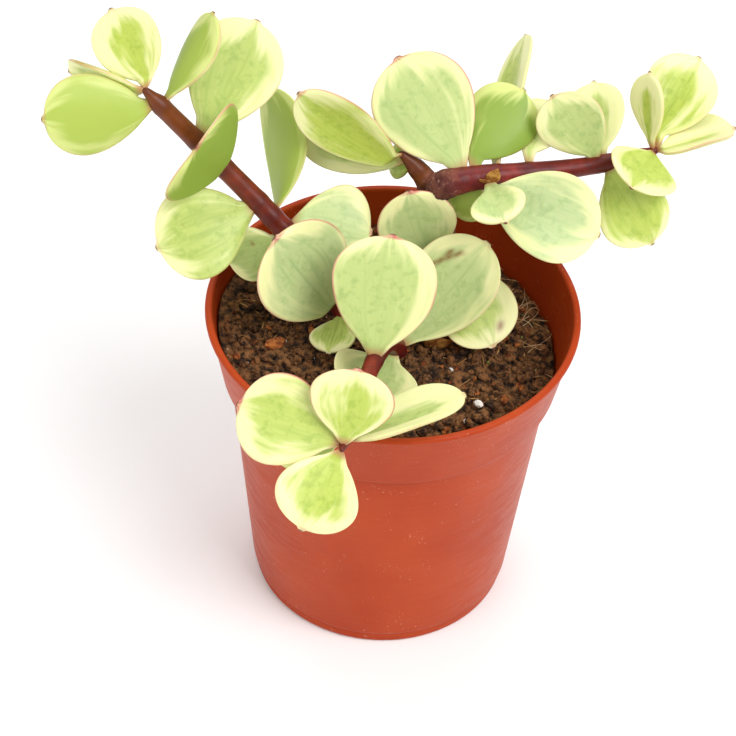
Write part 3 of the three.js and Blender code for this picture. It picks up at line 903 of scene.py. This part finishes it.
def litter_material(name, dark, light, roughness, scale):
    """A rough natural crumb in two mottled colours, its grain scale being per metre."""
    material, add = new_material(name)
    place = add("TexCoord", out=3)
    grain = add("TexNoise", {"Vector": place, "Scale": scale, "Detail": 4, "Roughness": 0.7})
    mottle = add("MapRange", {0: grain, 1: 0.36, 2: 0.66}, **EASED)
    looks = {
        "Base Color": add("Mix", {0: mottle, 6: linear(dark), 7: linear(light)}, **COLOURS),
        "Normal": add("Bump", {"Height": grain, "Strength": 0.6, "Distance": 0.0006}),
    }
    finish_surface(material, looks, {"Roughness": roughness, "Specular IOR Level": 0.3})
    return material


# ---- making ----
materials = {
    "leaf": leaf_material(),
    "stem": stem_material(),
    "pot": pot_material(),
    "peat": litter_material("moist_peat", "#190d07", "#865a34", 0.9, 520),
    "bark": litter_material("composted_bark", "#5a2410", "#b0682e", 0.85, 700),
    "perlite": litter_material("expanded_perlite", "#cfcabd", "#f4f1ea", 0.9, 900),
    "straw": litter_material("dry_straw", "#8a6236", "#c79a5c", 0.7, 500),
    "root": litter_material("fine_root", "#a87b52", "#d8b88c", 0.7, 500),
    "dry": litter_material("dried_leaf", "#8a4c1c", "#d09a4e", 0.7, 600),
    "moss": litter_material("moss", "#3e5a1e", "#8aa548", 0.9, 900),
}

plant_leaves(materials["leaf"])
for stem_name in STEMS:
    mesh = bmesh.new()
    stem_body(mesh, stem_name)
    finish_piece(stem_name + "_bark", mesh, materials["stem"], [stem_name])
make_pot(materials["pot"])
mesh = bmesh.new()
soil_body(mesh)
finish_piece("peat_bed", mesh, materials["peat"], ["soil"])
make_litter(materials)
make_dead_scraps(materials["dry"])
for node_name, kind in (("bark_chip", "bark"), ("perlite_large", "perlite"), ("perlite_small", "perlite")):
    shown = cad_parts[node_name]
    shown.data.materials.clear()
    shown.data.materials.append(materials[kind])

# ---- camera, light and floor ----
ELEVATION = math.radians(44.3)
ROLL = math.radians(3.0)
DISTANCE = 600
LENS = 135.2
TARGET = Vector((-4.7, 0, 57.5))

camera = bpy.data.objects.new("camera", bpy.data.cameras.new("camera"))
bpy.context.scene.collection.objects.link(camera)
camera.data.sensor_width = 36
camera.data.lens = LENS
ahead = Vector((0, math.cos(ELEVATION), -math.sin(ELEVATION)))
camera.matrix_world = (
    Matrix.Translation((TARGET - ahead * DISTANCE) * MM)
    @ Matrix.Rotation(math.pi / 2 - ELEVATION, 4, "X")
    @ Matrix.Rotation(ROLL, 4, "Z")
)
bpy.context.scene.camera = camera
bpy.context.scene.view_settings.view_transform = "Standard"

LAMPS = {  # place in m, side in m, watts
    "key": ((0.55, -0.45, 0.95), 0.7, 10),
    "fill": ((-0.8, -0.6, 0.6), 0.9, 3.6),
    "top": ((-0.1, 0.5, 1.1), 0.8, 5),
}
for name, (spot, side, watts) in LAMPS.items():
    lamp = bpy.data.objects.new(name, bpy.data.lights.new(name, "AREA"))
    lamp.data.size = side
    lamp.data.energy = watts
    lamp.location = spot
    lamp.rotation_euler = (Vector((0, 0, 0.06)) - Vector(spot)).to_track_quat("-Z", "Y").to_euler()
    bpy.context.scene.collection.objects.link(lamp)

world = bpy.data.worlds.new("studio")
bpy.context.scene.world = world
world.use_nodes = True
world.node_tree.nodes["Background"].inputs["Color"].default_value = (1, 1, 1, 1)
world.node_tree.nodes["Background"].inputs["Strength"].default_value = 0.5

bm = bmesh.new()
bmesh.ops.create_circle(bm, cap_ends=True, segments=96, radius=3000)
bmesh.ops.scale(bm, vec=(MM, MM, MM), verts=bm.verts)
floor_mesh = bpy.data.meshes.new("floor")
bm.to_mesh(floor_mesh)
bm.free()
floor = bpy.data.objects.new("floor", floor_mesh)
floor.location.z = -0.0002
bpy.context.scene.collection.objects.link(floor)
paper, _ = new_material("white_paper")
finish_surface(paper, {}, {"Base Color": linear("#fcfcfc"), "Roughness": 0.9})
floor_mesh.materials.append(paper)
